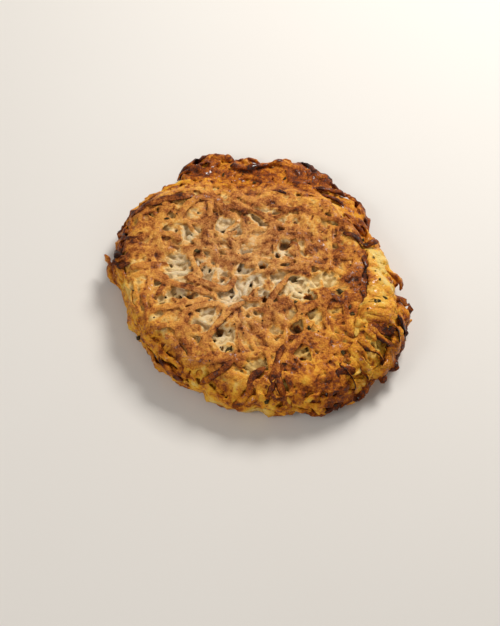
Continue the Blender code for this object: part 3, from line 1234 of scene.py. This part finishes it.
for name, ribbons, flatness, lift, stand, burnt_edge in (
    ("base_ribbons", BASE_RIBBONS, 0.3, 0.7 * MM, 0.0, 0.10),
    ("folded_ribbons", FOLDED_RIBBONS, 0.16, 1.6 * MM, 0.6, 0.85),
):
    slices = path_strands(name, ribbons, flatness, lift, stand, roughness=1.8 * MM)
    settle(slices, 0.0)
    shade = value_of(slices, "shade") + burnt_edge * ease(value_of(slices, "side"), 0.1, 0.9)
    press(slices)
    brown_and_shade(slices, shade, fine_passes=2, broad_passes=8, crisp=0.1)
    finish_piece(name, slices, fried_potato(name, roughness=0.34, coat=0.8))

SHEET_COLUMNS = 150
SHEET_ROWS = 30
SHEET_END_SINK = 4.4
SHEET_THINNING = 0.45
SHEET_LOWEST = 0.2 * MM


def spread(points, count):
    """A number of evenly spaced points on the smooth curve through the given ones."""
    filled = smooth_path(points, 0.5)
    steps = np.linalg.norm(np.diff(filled, axis=0), axis=1)
    reach = np.concatenate([[0.0], np.cumsum(steps)])
    wanted = np.linspace(0.0, reach[-1], count)
    return np.column_stack([np.interp(wanted, reach, filled[:, axis]) for axis in range(3)])


def closed_sheet(name, grid, half):
    """A closed sheet, whose two sides lie half above and half below a grid of points."""
    points = np.vstack([(grid + half).reshape(-1, 3), (grid - half).reshape(-1, 3)])
    count = SHEET_ROWS * SHEET_COLUMNS
    faces = []
    for row in range(SHEET_ROWS - 1):
        for column in range(SHEET_COLUMNS - 1):
            here = row * SHEET_COLUMNS + column
            ring = [here, here + 1, here + SHEET_COLUMNS + 1, here + SHEET_COLUMNS]
            faces += [ring, [corner + count for corner in reversed(ring)]]
    border = list(range(SHEET_COLUMNS))
    border += [row * SHEET_COLUMNS + SHEET_COLUMNS - 1 for row in range(1, SHEET_ROWS)]
    border += [count - 1 - column for column in range(1, SHEET_COLUMNS)]
    border += [row * SHEET_COLUMNS for row in range(SHEET_ROWS - 2, 0, -1)]
    for start, end in zip(border, border[1:] + border[:1]):
        faces.append([end, start, start + count, end + count])
    mesh = bpy.data.meshes.new(name)
    mesh.from_pydata(points.tolist(), [], faces)
    shell = bmesh.new()
    shell.from_mesh(mesh)
    bmesh.ops.recalc_face_normals(shell, faces=shell.faces)
    shell.to_mesh(mesh)
    shell.free()
    mesh.shade_smooth()
    return mesh


def draped_slice(name, inner, outer, lift, bulge, folds, depth, curl, thick, lumps):
    """A wide slice that hangs from an inner to an outer line on the cake.

    Its folds deepen towards the outer line. Also gives how near each point is to that line,
    from 0 to 1, and how high on a fold it lies, from -1 to 1.
    """
    across = np.linspace(0.0, 1.0, SHEET_ROWS)[:, None]
    along = np.linspace(0.0, 1.0, SHEET_COLUMNS)[None, :]
    top, low = spread(inner, SHEET_COLUMNS), spread(outer, SHEET_COLUMNS)
    grid = (top[None] * (1.0 - across[:, :, None]) + low[None] * across[:, :, None]) * MM
    turn = math.tau * folds * along + 1.7 * np.sin(math.tau * 1.6 * along + 0.6)
    rise = lift + bulge * np.sin(math.pi * across) * np.ones_like(along)
    rise = rise + depth * across**1.3 * np.sin(turn) + curl * ease(across, 0.70, 1.0)
    rise = rise - SHEET_END_SINK * np.abs(2.0 * along - 1.0) ** 10
    flat = grid.reshape(-1, 3)
    for index, height in enumerate(rise.ravel()):
        near, normal, _, _ = SKIN.find_nearest(Vector(flat[index]))
        flat[index] = near + normal * height * MM
    flat += lumps * MM * np.column_stack([cloud(flat, 6.0 * MM, 51 + axis, 3) for axis in range(3)])
    flat += 0.2 * lumps * MM * np.column_stack([cloud(flat, 2.0 * MM, 54 + axis) for axis in range(3)])
    grid = flat.reshape(SHEET_ROWS, SHEET_COLUMNS, 3)
    normals = np.cross(np.gradient(grid, axis=0), np.gradient(grid, axis=1))
    normals /= np.linalg.norm(normals, axis=2, keepdims=True)
    half = 0.5 * thick * MM * (1.0 - SHEET_THINNING * across[:, :, None] ** 4) * normals
    rim = np.tile((across * np.ones_like(along)).ravel(), 2)
    folded = np.tile(np.sin(turn).repeat(SHEET_ROWS, axis=0).ravel(), 2)
    return closed_sheet(name, grid, half), rim, folded


def finish_slice(name, mesh, shade, roughness, coat):
    """Browns a slice, keeps it above the table and puts it in the scene."""
    brown_and_shade(mesh, shade, fine_passes=2, broad_passes=8, crisp=0.1)
    set_points(mesh, np.maximum(points_of(mesh), (-1.0, -1.0, SHEET_LOWEST)))
    finish_piece(name, mesh, fried_potato(name, roughness, coat))


# Each slice by its inner and its outer line, in mm, and its shape: (lift, bulge in the middle, number
# of folds, their depth, how much the outer edge curls up, thickness, lumps), in mm.
FLAP_INNER = ((52, 12, 19), (53, 4, 20), (53, -6, 20), (52, -16, 20), (50, -28, 19), (46, -41, 19))
FLAP_OUTER = ((58, 13, 7), (62, 6, 6), (62, -3, 6), (64, -13, 6), (64, -22, 7), (60, -35, 11))
FLAP_SHAPE = (0.7, 1.6, 2.6, 0.8, -1.4, 2.0, 1.0)
flap, rim, _ = draped_slice("pale_flap", FLAP_INNER, FLAP_OUTER, *FLAP_SHAPE)
places = points_of(flap)
ripples = np.sin(places[:, 1] / MM * 1.9 + places[:, 0] / MM * 1.1)
patches = 0.24 * cloud(places, 6.0 * MM, 61) + 0.05 * ripples
shade = -0.16 + patches + 0.10 * ease(rim, 0.8, 1.0)
finish_slice("pale_flap", flap, shade, roughness=0.34, coat=0.8)

RUFFLE_INNER = flat_path(14, (57, -31), (60, -38), (59, -46), (56, -52), (50, -58), (42, -63))
RUFFLE_OUTER = ((66, -32, 9), (68, -40, 8), (67, -48, 8), (64, -55, 8), (59, -61, 8), (51, -66, 7))
RUFFLE_OUTER += ((43, -70, 6),)
RUFFLE_SHAPE = (1.0, 0.2, 3.6, 1.9, 2.2, 1.8, 1.2)
ruffle, rim, folded = draped_slice("amber_ruffle", RUFFLE_INNER, RUFFLE_OUTER, *RUFFLE_SHAPE)
burnt = 0.46 * ease(rim, 0.50, 0.85) + 0.14 * ease(folded, 0.3, 1.0) * rim
shade = -0.06 + burnt + 0.10 * cloud(points_of(ruffle), 6.0 * MM, 62)
finish_slice("amber_ruffle", ruffle, shade, roughness=0.30, coat=0.9)


# ---------------------------------------------------------------------------
# The seasoning: torn herb leaves, fried dark, and ground pepper. Both lie on
# the crust where they were mixed into the potato.
# ---------------------------------------------------------------------------
# The herb flakes: (x, y, size), in mm.
HERBS = (
    (-58, -36, 3), (-63, -35, 2), (-49, -55, 2.4), (-14, -51, 3.6), (-30, 6, 3),
    (9, 3, 2.4), (24, -39, 3), (44, -27, 2.2), (45, -31, 2.4), (39, -18, 2.8),
    (40, -52, 2.2), (4, -74, 3), (57, -26, 3), (61, -22, 2.2), (57, 3, 1.6),
    (59, -12, 1.5), (52, 14, 2),
    (18, -25, 1.8), (-2, 54, 2), (-18, 60, 1.8), (14, 58, 1.8), (-46, 24, 1.8),
)
HERB_SPREAD = 1.15
HERB_THICK = 0.28
HERB_CRUMPLE = 1.1
# The grains lie in a loose spiral: how many, how far out in mm, and the turn between two of them.
PEPPER_COUNT = 56
PEPPER_REACH = 66.0
PEPPER_TURN = 2.39996
PEPPER_CRUMPLE = 0.4
PEPPER_THICK = 0.6

# A flake: how fine its crumples are, its width as a share of its length, how much it turns upwards
# from the crust, how far it lies off it in mm, and the turn between two of them.
FLAKE_GRAIN = 700.0
FLAKE_NARROW = 0.62
FLAKE_UPRIGHT = Vector((0.0, 0.0, 0.6))
FLAKE_LIFT = 0.2
FLAKE_STEP = 2.4


def seasoning_group():
    """Turns points on the cake into small crumpled flakes that lie flat on it."""
    group, tree, given = new_group("seasoning", [("Crumple", "Float")])
    flake = tree.add("GeometryNodeMeshIcoSphere", None, {"Radius": 0.5, "Subdivisions": 2})["Mesh"]
    inputs = {"Vector": kept(tree, "face_way", "FLOAT_VECTOR")}
    facing = tree.add("FunctionNodeAlignRotationToVector", {"axis": "Z"}, inputs)["Rotation"]
    lie = spun(tree, facing, kept(tree, "turn"))
    wide = kept(tree, "wide")
    inputs = {"X": wide, "Y": wide * FLAKE_NARROW, "Z": wide * kept(tree, "thick")}
    size = tree.add("ShaderNodeCombineXYZ", None, inputs)
    points = tree.add("GeometryNodeMeshToPoints", None, {"Mesh": given["Surface"]})["Points"]
    inputs = {"Points": points, "Instance": flake, "Rotation": lie, "Scale": size["Vector"]}
    copies = tree.add("GeometryNodeInstanceOnPoints", None, inputs)["Instances"]
    flakes = tree.add("GeometryNodeRealizeInstances", None, {"Geometry": copies})["Geometry"]
    finish_tree(tree, given, flakes, FLAKE_GRAIN, 1.0, wide * given["Crumple"])
    return group


def seasoning(name, flakes, crumple, material):
    """Flakes on the cake's surface: (x, y, size, thickness as a share), in mm."""
    mesh = bpy.data.meshes.new(name)
    rows = []
    for index, (x, y, size, thick) in enumerate(flakes):
        over = Vector((x * MM, y * MM, FAR_OFF))
        hits = [tree.ray_cast(over, DOWN) for tree in SHOWN]
        hits = [(hit, normal) for hit, normal, _, _ in hits if hit is not None]
        if hits:
            hit, normal = max(hits, key=lambda found: found[0].z)
            normal = (normal + FLAKE_UPRIGHT).normalized()
            place = hit + normal * FLAKE_LIFT * MM
            rows.append((*place, *normal, size * MM, thick, index * FLAKE_STEP))
    rows = np.array(rows)
    mesh.from_pydata(rows[:, :3].tolist(), [], [])
    set_ways(mesh, "face_way", rows[:, 3:6])
    for column, kind in ((6, "wide"), (7, "thick"), (8, "turn")):
        set_value(mesh, kind, rows[:, column])
    finish_piece(name, made_by(SEASONING, name, mesh, crumple=crumple), material)


def seasoning_material(name, dark, light, roughness):
    """Dry flakes with specks of a lighter tone."""
    material, tree, shader = start_material(name, Roughness=roughness, Specular_IOR_Level=0.06)
    place = tree.add("ShaderNodeTexCoord")["Object"]
    spots = tree.add("ShaderNodeTexNoise", None, {"Vector": place, "Scale": 900.0, "Detail": 2.0})["Fac"]
    colour = tree.add(
        "ShaderNodeMix",
        {"data_type": "RGBA"},
        {"Factor": spots.ease(0.4, 0.65), "A": (*dark, 1.0), "B": (*light, 1.0)},
    )
    tree.feed(shader.inputs["Base Color"], colour["Result"])
    return material


def outer_tree(mesh):
    """A mesh's surface, for finding where a flake comes to lie."""
    corners = [tuple(face.vertices) for face in mesh.polygons]
    return BVHTree.FromPolygons([vert.co for vert in mesh.vertices], corners)


SHOWN = [outer_tree(mesh) for mesh in (cake, flap)]
SEASONING = seasoning_group()
herbs = seasoning_material("fried_herb", (0.035, 0.022, 0.008), (0.115, 0.082, 0.032), 0.85)
flakes = [(x, y, HERB_SPREAD * size, HERB_THICK) for x, y, size in HERBS]
seasoning("herb_flakes", flakes, HERB_CRUMPLE, herbs)
pepper = seasoning_material("ground_pepper", (0.02, 0.012, 0.008), (0.09, 0.05, 0.03), 0.6)
grains = []
for index in range(PEPPER_COUNT):
    reach = PEPPER_REACH * math.sqrt((index + 0.5) / PEPPER_COUNT)
    turn = index * PEPPER_TURN + 0.4 * math.sin(index * 7.3)
    size = 0.6 + 0.5 * abs(math.sin(index * 3.1))
    grains.append((reach * math.cos(turn), reach * math.sin(turn), size, PEPPER_THICK))
seasoning("pepper_grains", grains, PEPPER_CRUMPLE, pepper)
